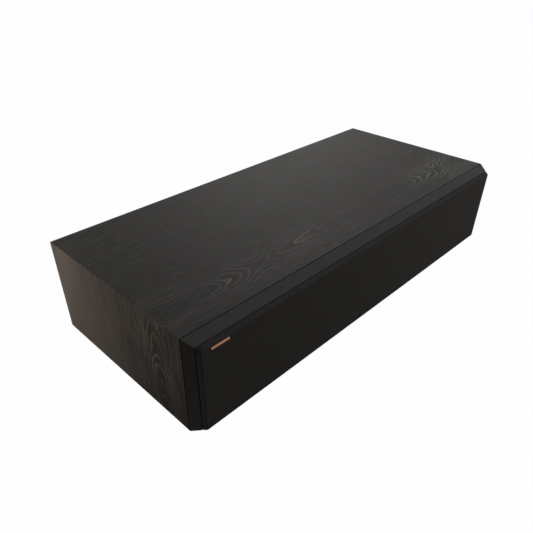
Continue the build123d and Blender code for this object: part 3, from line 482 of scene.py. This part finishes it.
def clothMaterial():
    look = clothPiece
    material, tree, shader, place = startMaterial("grilleWeave")
    split = addNode(tree, "ShaderNodeSeparateXYZ")
    tree.links.new(place, split.inputs[0])
    turns = 2 * math.pi / look["threadPitch"]
    warpSine = calc(tree, "SINE", calc(tree, "MULTIPLY", split.outputs["X"], turns))
    weftSine = calc(tree, "SINE", calc(tree, "MULTIPLY", split.outputs["Z"], turns))
    over = calc(tree, "MULTIPLY", warpSine, weftSine)
    streak = noiseOf(tree, place, 1.0, detail=3.0, roughness=0.6, stretch=look["streak"])
    slub = noiseOf(tree, place, 1.0, detail=2.0, roughness=0.5, stretch=look["slub"])
    height = calc(tree, "MULTIPLY_ADD", streak, look["streakHeight"], slub)
    height = calc(tree, "MULTIPLY_ADD", over, look["threadHeight"], height)
    tone = remap(tree, height, *look["heightSpan"], 0.0, 1.0)
    dark = [c * look["darker"] for c in look["colour"]]
    light = [c * look["lighter"] for c in look["colour"]]
    paintedLightShade = addNode(tree, "ShaderNodeVectorMath", operation="SCALE")
    tree.links.new(mixColour(tree, tone, rgb(dark), rgb(light)), paintedLightShade.inputs[0])
    # painted light and shade: the cloth's colour is scaled up on the end chamfers and down on the top and bottom ones
    paintedLightShadeInput = addNode(tree, "ShaderNodeAttribute", attribute_name="paintedLightShade")
    tree.links.new(paintedLightShadeInput.outputs["Fac"], paintedLightShade.inputs["Scale"])
    tree.links.new(paintedLightShade.outputs[0], shader.inputs["Base Color"])
    tree.links.new(remap(tree, tone, 0.0, 1.0, *look["roughness"]), shader.inputs["Roughness"])
    for key, value in look["sockets"].items():
        shader.inputs[key].default_value = value
    addBump(tree, shader, height, look["bump"], look["bumpDepth"])
    return material


def stretchedCloth():
    low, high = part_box("grille_cloth")
    look = clothPiece
    slope = look["bevel"][0] / look["bevel"][1]
    thick = high.y - low.y
    turnIn, roundSize, steps = look["return"], look["edgeRound"], look["roundSteps"]
    # each point: inset from the back outline, depth from the back
    profile = [(turnIn, 0.0), (turnIn * look["returnStep"], 0.0)]
    corners = [(0.0, 0.0), (slope * thick, thick)]
    inner, middle = (turnIn, 0.0), (slope * thick + look["reach"], thick)
    for corner, lead, leave in ((corners[0], inner, corners[1]), (corners[1], corners[0], middle)):
        c = Vector(corner)
        a = c + (Vector(lead) - c).normalized() * roundSize
        b = c + (Vector(leave) - c).normalized() * roundSize
        for k in range(steps + 1):
            t = k / steps
            profile.append(tuple(a * (1 - t) ** 2 + c * 2 * t * (1 - t) + b * t ** 2))
    profile.append((profile[-1][0] + look["margin"], thick))

    mesh = bmesh.new()
    countX, countZ = look["cells"]
    halfX, halfZ = (high.x - low.x) / 2, (high.z - low.z) / 2
    midX, midZ = (high.x + low.x) / 2, (high.z + low.z) / 2
    loops = []
    for inset, depth in profile:
        hx, hz, y = halfX - inset, halfZ - inset, high.y - depth
        ring = [(-hx + 2 * hx * k / countX, -hz) for k in range(countX)]
        ring += [(hx, -hz + 2 * hz * k / countZ) for k in range(countZ)]
        ring += [(hx - 2 * hx * k / countX, hz) for k in range(countX)]
        ring += [(-hx, hz - 2 * hz * k / countZ) for k in range(countZ)]
        loops.append([mesh.verts.new((midX + x, y, midZ + z)) for x, z in ring])
    total = len(loops[0])
    for first, second in zip(loops, loops[1:]):
        for k in range(total):
            nextK = (k + 1) % total
            mesh.faces.new((first[k], first[nextK], second[nextK], second[k]))
    edge = loops[-1]                               # front face as a grid inside the last loop
    grid = {}
    for k, vert in enumerate(edge[:countX + 1]):
        grid[k, 0] = vert
    for k in range(countZ + 1):
        grid[countX, k] = edge[(countX + k) % total]
        grid[0, k] = edge[(2 * countX + 2 * countZ - k) % total]
    for k in range(countX + 1):
        grid[k, countZ] = edge[(2 * countX + countZ - k) % total]
    for i in range(1, countX):
        for j in range(1, countZ):
            x = grid[0, 0].co.x + (grid[countX, 0].co.x - grid[0, 0].co.x) * i / countX
            z = grid[0, 0].co.z + (grid[0, countZ].co.z - grid[0, 0].co.z) * j / countZ
            grid[i, j] = mesh.verts.new((x, low.y, z))
    for i in range(countX):
        for j in range(countZ):
            mesh.faces.new((grid[i, j], grid[i + 1, j], grid[i + 1, j + 1], grid[i, j + 1]))
    bmesh.ops.recalc_face_normals(mesh, faces=mesh.faces)
    foremost = min(mesh.faces, key=lambda f: f.calc_center_median().y)
    if foremost.normal.y > 0:
        bmesh.ops.reverse_faces(mesh, faces=mesh.faces)
    data = bpy.data.meshes.new("grilleCloth")
    mesh.to_mesh(data)
    mesh.free()
    for polygon in data.polygons:
        polygon.use_smooth = True
    paintedLightShade = data.attributes.new("paintedLightShade", "FLOAT", "POINT")
    for item, vert in zip(paintedLightShade.data, data.vertices):
        toEnd = halfX - abs(vert.co.x - midX)
        toTop = midZ + halfZ - vert.co.z
        # painted light on the ends, painted shade on the top and bottom, set per vertex
        paintedEdgeLightShade = look["ends"] if toEnd < toTop else look["top"]
        item.value = paintedEdgeLightShade if vert.co.y > low.y + tiny else 1.0
    piece = bpy.data.objects.new("grilleCloth", data)
    bpy.context.scene.collection.objects.link(piece)
    wall = piece.modifiers.new("thickness", "SOLIDIFY")
    wall.thickness = look["thickness"]
    wall.offset = -1.0
    data.materials.append(clothMaterial())
    return piece


cloth = stretchedCloth()
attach(cloth, "grille")
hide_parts("grille_cloth")
print("grille cloth done")


# wadding under the top board: loose fibre pads with a crowned, uneven skin

waddingPiece = {
    "cell": 0.0045, "smoothing": 0.5, "smoothRounds": 14,
    "lump": 0.0022, "topLump": 0.1, "topTurn": 0.7,     # m, the share of it on faces that turn up, and how far
    "waves": 9, "waveRate": 260.0, "seed": 7,           # radians per m, at most, along each axis
    "finish": {"colour": (0.55, 0.54, 0.50), "variation": 0.22, "scale": 120.0, "roughness": (0.9, 1.0),
               "stretch": (1, 1, 3), "specular": 0.1, "bump": 0.8, "bumpScale": 420, "bumpDepth": 0.002},
}


def waddingPads():
    look = waddingPiece
    data = nodes["damping_pads"].data.copy()
    work = bmesh.new()
    work.from_mesh(data)
    bmesh.ops.remove_doubles(work, verts=work.verts, dist=tiny)
    work.to_mesh(data)
    work.free()
    piece = bpy.data.objects.new("wadding", data)
    bpy.context.scene.collection.objects.link(piece)
    fine = piece.modifiers.new("fine", "REMESH")
    fine.mode = "VOXEL"
    fine.voxel_size = look["cell"]
    soften = piece.modifiers.new("soften", "SMOOTH")
    soften.factor = look["smoothing"]
    soften.iterations = look["smoothRounds"]
    depsgraph = bpy.context.evaluated_depsgraph_get()
    solid = bpy.data.meshes.new_from_object(piece.evaluated_get(depsgraph))
    piece.modifiers.clear()
    piece.data = solid
    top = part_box("damping_pads")[1].z
    rng = np.random.default_rng(look["seed"])
    waves = rng.uniform(-1, 1, (look["waves"], 3)) * look["waveRate"]
    phases = rng.uniform(0, 2 * math.pi, look["waves"])
    for vert in solid.vertices:
        n = vert.normal
        lump = sum(math.sin(float(np.dot(w, vert.co)) + p) for w, p in zip(waves, phases)) / look["waves"]
        share = 1.0 if n.z < look["topTurn"] else look["topLump"]
        vert.co -= n * (look["lump"] * (0.5 + 0.5 * lump) * share)
        vert.co.z = min(vert.co.z, top)
    for polygon in solid.polygons:
        polygon.use_smooth = True
    solid.materials.clear()
    solid.materials.append(plainFinish("fibreWadding", **look["finish"]))
    return piece


wadding = waddingPads()
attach(wadding, "cabinet")
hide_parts("damping_pads")
print("wadding done")


# screws and coil wire: node trees that set one shape on every place of the CAD group

def islandBoxes(nodeName):
    work = bmesh.new()
    work.from_mesh(nodes[nodeName].data)
    bmesh.ops.remove_doubles(work, verts=work.verts, dist=1e-6)
    left, boxes = set(work.verts), []
    while left:
        front = [left.pop()]
        found = list(front)
        while front:
            for edge in front.pop().link_edges:
                for vert in edge.verts:
                    if vert in left:
                        left.remove(vert)
                        front.append(vert)
                        found.append(vert)
        points = np.array([vert.co for vert in found])
        boxes.append((Vector(points.min(axis=0)), Vector(points.max(axis=0))))
    work.free()
    return sorted(boxes, key=lambda box: (round(box[0].y, 3), round(box[0].x, 3), round(box[0].z, 3)))


def placeMarks(name, marks):
    data = bpy.data.meshes.new(name)
    data.from_pydata([place for place, outward in marks], [], [])
    direction = data.attributes.new("outward", "FLOAT_VECTOR", "POINT")
    for item, (place, outward) in zip(direction.data, marks):
        item.vector = outward
    piece = bpy.data.objects.new(name, data)
    bpy.context.scene.collection.objects.link(piece)
    return piece


def startTree(name, inputs):
    tree = bpy.data.node_groups.new(name, "GeometryNodeTree")
    tree.interface.new_socket("Geometry", in_out="INPUT", socket_type="NodeSocketGeometry")
    for label, kind in inputs:
        tree.interface.new_socket(label, in_out="INPUT", socket_type=kind)
    tree.interface.new_socket("Geometry", in_out="OUTPUT", socket_type="NodeSocketGeometry")
    return tree, addNode(tree, "NodeGroupInput").outputs


def shape(tree, kind, inputs, output=0, **settings):
    node = addNode(tree, kind, **settings)
    for key, value in inputs.items():
        feed(tree, node.inputs[key], value)
    return node.outputs[output]


def raised(tree, geometry, height):
    offset = shape(tree, "ShaderNodeCombineXYZ", {"Z": height})
    return shape(tree, "GeometryNodeTransform", {"Geometry": geometry, "Translation": offset})


def joined(tree, *parts):
    node = addNode(tree, "GeometryNodeJoinGeometry")
    for part in parts:
        tree.links.new(part, node.inputs[0])
    return node.outputs[0]


def setOnMarks(tree, given, geometry):
    outward = shape(tree, "GeometryNodeInputNamedAttribute", {"Name": "outward"}, data_type="FLOAT_VECTOR")
    turn = shape(tree, "FunctionNodeAlignRotationToVector", {"Vector": outward}, axis="Z")
    copies = shape(tree, "GeometryNodeInstanceOnPoints",
                   {"Points": given["Geometry"], "Instance": geometry, "Rotation": turn})
    solid = shape(tree, "GeometryNodeRealizeInstances", {"Geometry": copies})
    solid = shape(tree, "GeometryNodeSetMaterial", {"Geometry": solid, "Material": given["Material"]})
    tree.links.new(solid, addNode(tree, "NodeGroupOutput").inputs[0])


def runTree(piece, tree, values):
    modifier = piece.modifiers.new(tree.name, "NODES")
    modifier.node_group = tree
    for item in tree.interface.items_tree:
        if item.in_out == "INPUT" and item.name in values:
            modifier[item.identifier] = values[item.name]
    depsgraph = bpy.context.evaluated_depsgraph_get()
    mesh = bpy.data.meshes.new_from_object(piece.evaluated_get(depsgraph))
    piece.modifiers.clear()
    piece.data = mesh
    return piece


screwPiece = {"Head Radius": 0.0038, "Head Height": 0.0020, "Shank Radius": 0.0018, "Length": 0.0160,
              "Socket": 0.0017}
screwForm = {"skirt": 0.6, "dome": 0.4, "crown": 0.80, "socketMiddle": 1.1,     # shares of the head
             "headSides": 36, "shankSides": 20, "socketSides": 6}


def screwTree():
    labels = [(label, "NodeSocketFloat") for label in screwPiece] + [("Material", "NodeSocketMaterial")]
    tree, given = startTree("panelScrew", labels)
    form = screwForm
    radius, height = given["Head Radius"], given["Head Height"]
    skirtHeight = calc(tree, "MULTIPLY", height, form["skirt"])
    domeHeight = calc(tree, "MULTIPLY", height, form["dome"])
    crownRadius = calc(tree, "MULTIPLY", radius, form["crown"])
    skirt = shape(tree, "GeometryNodeMeshCylinder",
                  {"Vertices": form["headSides"], "Radius": radius, "Depth": skirtHeight})
    skirt = raised(tree, skirt, calc(tree, "MULTIPLY", skirtHeight, 0.5))
    dome = shape(tree, "GeometryNodeMeshCone", {"Vertices": form["headSides"], "Radius Top": crownRadius,
                                                "Radius Bottom": radius, "Depth": domeHeight})
    head = joined(tree, skirt, raised(tree, dome, skirtHeight))
    key = shape(tree, "GeometryNodeMeshCylinder",
                {"Vertices": form["socketSides"], "Radius": given["Socket"], "Depth": height})
    key = raised(tree, key, calc(tree, "MULTIPLY", height, form["socketMiddle"]))
    cut = addNode(tree, "GeometryNodeMeshBoolean", operation="DIFFERENCE")
    tree.links.new(head, cut.inputs[0])
    tree.links.new(key, cut.inputs[1])
    shank = shape(tree, "GeometryNodeMeshCylinder",
                  {"Vertices": form["shankSides"], "Radius": given["Shank Radius"], "Depth": given["Length"]})
    shank = raised(tree, shank, calc(tree, "MULTIPLY", given["Length"], -0.5))
    setOnMarks(tree, given, joined(tree, cut.outputs[0], shank))
    return tree


def screwMarks():
    marks = []
    for low, high in islandBoxes("panel_screws"):
        toFront = low.y < 0.0
        faceY = low.y + screwPiece["Head Height"] if toFront else high.y - screwPiece["Head Height"]
        place = ((low.x + high.x) / 2, faceY, (low.z + high.z) / 2)
        marks.append((place, (0.0, -1.0 if toFront else 1.0, 0.0)))
    return marks


screwValues = {**screwPiece, "Material": finishes["blackScrew"]}
screws = runTree(placeMarks("panelScrews", screwMarks()), screwTree(), screwValues)
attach(screws, "cabinet")
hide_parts("panel_screws")
print("screws done:", len(screws.data.polygons), "faces")


coilPiece = {"Outer Radius": 0.0190, "Bore": 0.0080, "Length": 0.0160, "Wire": 0.0006}
coilForm = {"turnSteps": 40, "wireSides": 6}
enamelLook = {"colour": (0.52, 0.20, 0.075), "variation": 0.18, "scale": 90.0, "roughness": (0.28, 0.40),
              "metallic": 0.9, "bump": 0.05}


def wireTree():
    labels = [(label, "NodeSocketFloat") for label in coilPiece] + [("Material", "NodeSocketMaterial")]
    tree, given = startTree("coilWire", labels)
    wire = given["Wire"]
    pitch = calc(tree, "MULTIPLY", wire, 2.0)
    outer = calc(tree, "SUBTRACT", given["Outer Radius"], wire)
    inner = calc(tree, "ADD", given["Bore"], wire)
    height = calc(tree, "SUBTRACT", given["Length"], pitch)
    layers = calc(tree, "DIVIDE", height, pitch)
    turns = calc(tree, "DIVIDE", calc(tree, "SUBTRACT", outer, inner), pitch)
    steps = coilForm["turnSteps"]
    helix = {"Resolution": steps, "Rotations": layers, "Height": height}
    flat = {"Resolution": steps, "Rotations": turns, "Height": 0.0, "Start Radius": inner, "End Radius": outer}
    around = shape(tree, "GeometryNodeCurveSpiral", {**helix, "Start Radius": outer, "End Radius": outer})
    inside = shape(tree, "GeometryNodeCurveSpiral", {**helix, "Start Radius": inner, "End Radius": inner})
    end = shape(tree, "GeometryNodeCurveSpiral", flat)
    path = raised(tree, joined(tree, around, inside, end, raised(tree, end, height)), wire)
    section = shape(tree, "GeometryNodeCurvePrimitiveCircle",
                    {"Resolution": coilForm["wireSides"], "Radius": wire})
    body = shape(tree, "GeometryNodeCurveToMesh", {"Curve": path, "Profile Curve": section})
    body = shape(tree, "GeometryNodeSetShadeSmooth", {"Geometry": body})
    setOnMarks(tree, given, body)
    return tree


def coilMarks():
    marks = []
    for low, high in islandBoxes("crossover_coils"):
        marks.append((((low.x + high.x) / 2, high.y, (low.z + high.z) / 2), (0.0, -1.0, 0.0)))
    return marks


coilValues = {**coilPiece, "Material": plainFinish("enamelWire", **enamelLook)}
windings = runTree(placeMarks("coilWindings", coilMarks()), wireTree(), coilValues)
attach(windings, "cabinet")
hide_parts("crossover_coils")
print("windings done:", len(windings.data.polygons), "faces")


# surrounds and spiders: turned rings between the basket and the cone, baked in place; they do not bend with the cone

surroundPiece = {
    "baffleY": -0.1828, "segments": 96, "steps": 14, "base": -0.0013, "skin": 0.0010, "roll": 0.0060,
    "free": 0.0485, "held": 0.0545, "inner": 0.0455, "outer": 0.0599,
}
spiderPiece = {
    "baffleY": -0.1828, "segments": 96, "steps": 48, "base": -0.0344, "skin": 0.0008,
    "ridge": 0.0015, "ridges": 3, "free": 0.0165, "held": 0.0364, "inner": 0.0127, "outer": 0.0414,
}
sharpAngle = math.radians(50)


def surroundProfile(look):
    middle = (look["free"] + look["held"]) / 2
    big = (look["roll"] + look["skin"]) / 2
    small = big - look["skin"]
    low = math.asin(look["skin"] / big)
    over, under = [], []
    steps = look["steps"]
    for k in range(steps + 1):
        angle = low + (math.pi - 2 * low) * k / steps
        over.append((middle + big * math.cos(angle), look["base"] + big * math.sin(angle)))
        angle = math.pi * k / steps
        under.append((middle - small * math.cos(angle), look["base"] + small * math.sin(angle)))
    top = look["base"] + look["skin"]
    rim = [(look["inner"], top), (look["inner"], look["base"])]
    return over + rim + under + [(look["outer"], look["base"]), (look["outer"], top)]


def spiderProfile(look):
    wave = [(look["inner"], 0.0)]
    steps = look["steps"]
    for k in range(steps + 1):
        swing = 0.5 - 0.5 * math.cos(2 * math.pi * look["ridges"] * k / steps)
        wave.append((look["free"] + (look["held"] - look["free"]) * k / steps, look["ridge"] * swing))
    wave.append((look["outer"], 0.0))
    under = [(radius, look["base"] + rise) for radius, rise in wave]
    return [(radius, height + look["skin"]) for radius, height in reversed(under)] + under


def turnedRing(name, look, profile, centreX, material):
    count, sides = look["segments"], len(profile)
    points, faces = [], []
    for k in range(count):
        angle = 2 * math.pi * k / count
        for radius, height in profile:
            x, z = radius * math.cos(angle), radius * math.sin(angle)
            points.append((centreX + x, look["baffleY"] - height, coneLook["midZ"] + z))
        for j in range(sides):
            first, second = k * sides, (k + 1) % count * sides
            faces.append((first + j, second + j, second + (j + 1) % sides, first + (j + 1) % sides))
    data = bpy.data.meshes.new(name)
    data.from_pydata(points, [], faces)
    work = bmesh.new()
    work.from_mesh(data)
    bmesh.ops.recalc_face_normals(work, faces=work.faces)
    work.to_mesh(data)
    work.free()
    data.shade_smooth()
    data.set_sharp_from_angle(angle=sharpAngle)
    data.materials.append(material)
    piece = bpy.data.objects.new(name, data)
    bpy.context.scene.collection.objects.link(piece)
    return piece


def bendWithCone(piece):
    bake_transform(piece)


ringKinds = (
    ("Surround", surroundPiece, surroundProfile, finishes["softBlack"], "woofer_surrounds", "soft_black"),
    ("Spider", spiderPiece, spiderProfile, spiderCloth, "woofer_spiders", "treated_cloth"),
)
for number, centreX in enumerate(coneLook["xs"], 1):
    for label, look, profileOf, material, nodeName, slotName in ringKinds:
        piece = turnedRing(f"woofer{number}{label}", look, profileOf(look), centreX, material)
        bendWithCone(piece)
        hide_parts(nodeName)
print("surrounds and spiders done")


# stage: pale floor, four soft lamps, camera at the photograph's view

stageLook = {
    "floor": (0.14, 0.14, 0.14), "floorShare": 0.985, "floorSize": 40.0,
    "world": 0.19, "worldLeft": 0.08, "leftFront": (-0.75, -0.66, 0.0), "leftTurn": 0.9,
    "camera": (-0.7140, -0.5970, 0.6229), "looks": (1.0, 1.0, -1.0), "sensor": 36.0, "lens": 34.536,
    "shift": (0.01311, 0.04325), "clip": (0.01, 100.0),
}
lampLooks = {
    "overhead": {"place": (1.00, 1.00, 0.95), "target": (0.25, 0.05, 0.15), "size": (0.9, 0.8), "power": 9.2,
                 "colour": (1.0, 0.98, 0.955)},
    "frontTop": {"place": (0.70, -0.90, 1.40), "target": (0.0, -0.15, 0.15), "size": (0.8, 0.6), "power": 10.4},
    "frontRight": {"place": (1.0, -1.4, 0.5), "target": (0.2, -0.2, 0.1), "size": (0.8, 0.6), "power": 2.2},
    "leftBack": {"place": (-0.66, 0.43, 0.18), "target": (-0.43, 0.21, 0.16), "size": (0.30, 0.16),
                 "power": 5.8, "colour": (1.0, 0.88, 0.78)},
}


def seenDirectly(tree):
    rays = addNode(tree, "ShaderNodeLightPath")
    seen = calc(tree, "MAXIMUM", rays.outputs["Is Camera Ray"], rays.outputs["Is Glossy Ray"])
    return calc(tree, "MAXIMUM", seen, rays.outputs["Is Transmission Ray"])


def floorMaterial():
    material = bpy.data.materials.new("paleFloor")
    material.use_nodes = True
    tree = material.node_tree
    tree.nodes.clear()
    output = addNode(tree, "ShaderNodeOutputMaterial")
    matte = addNode(tree, "ShaderNodeBsdfDiffuse")
    matte.inputs["Color"].default_value = rgb(stageLook["floor"])
    glow = addNode(tree, "ShaderNodeEmission")
    mix = addNode(tree, "ShaderNodeMixShader")
    tree.links.new(calc(tree, "MULTIPLY", seenDirectly(tree), stageLook["floorShare"]), mix.inputs[0])
    tree.links.new(matte.outputs[0], mix.inputs[1])
    tree.links.new(glow.outputs[0], mix.inputs[2])
    tree.links.new(mix.outputs[0], output.inputs[0])
    return material


def softLamp(name, place, target, size, power, colour=(1.0, 1.0, 1.0)):
    data = bpy.data.lights.new(name, "AREA")
    data.shape = "RECTANGLE"
    data.size, data.size_y = size
    data.energy = power
    data.color = colour
    lamp = bpy.data.objects.new(name, data)
    lamp.location = place
    lamp.rotation_euler = (Vector(target) - Vector(place)).to_track_quat("-Z", "Y").to_euler()
    lamp.visible_camera = False
    bpy.context.scene.collection.objects.link(lamp)


bpy.ops.mesh.primitive_plane_add(size=stageLook["floorSize"], location=(0.0, 0.0, 0.0))
floor = bpy.context.object
floor.name = "floor"
floor.data.materials.append(floorMaterial())

world = bpy.data.worlds.new("studio")
bpy.context.scene.world = world
world.use_nodes = True
worldTree = world.node_tree
# the room is darker at the left front
towards = addNode(worldTree, "ShaderNodeVectorMath", operation="DOT_PRODUCT")
worldTree.links.new(addNode(worldTree, "ShaderNodeTexCoord").outputs["Generated"], towards.inputs[0])
towards.inputs[1].default_value = stageLook["leftFront"]
ambient = remap(worldTree, towards.outputs["Value"], 0.0, stageLook["leftTurn"],
                stageLook["world"], stageLook["worldLeft"], smooth=True)
worldStrength = remap(worldTree, seenDirectly(worldTree), 0.0, 1.0, ambient, 1.0)
background = worldTree.nodes["Background"]
worldTree.links.new(worldStrength, background.inputs["Strength"])
background.inputs["Color"].default_value = (1.0, 1.0, 1.0, 1.0)

for lampName, settings in lampLooks.items():
    softLamp(lampName, **settings)

camera = bpy.data.objects.new("camera", bpy.data.cameras.new("camera"))
bpy.context.scene.collection.objects.link(camera)
camera.location = stageLook["camera"]
camera.rotation_euler = Vector(stageLook["looks"]).to_track_quat("-Z", "Y").to_euler()
camera.data.sensor_width = stageLook["sensor"]
camera.data.lens = stageLook["lens"]
camera.data.shift_x, camera.data.shift_y = stageLook["shift"]
camera.data.clip_start, camera.data.clip_end = stageLook["clip"]
bpy.context.scene.camera = camera
bpy.context.scene.view_settings.view_transform = "Standard"
print("stage done")
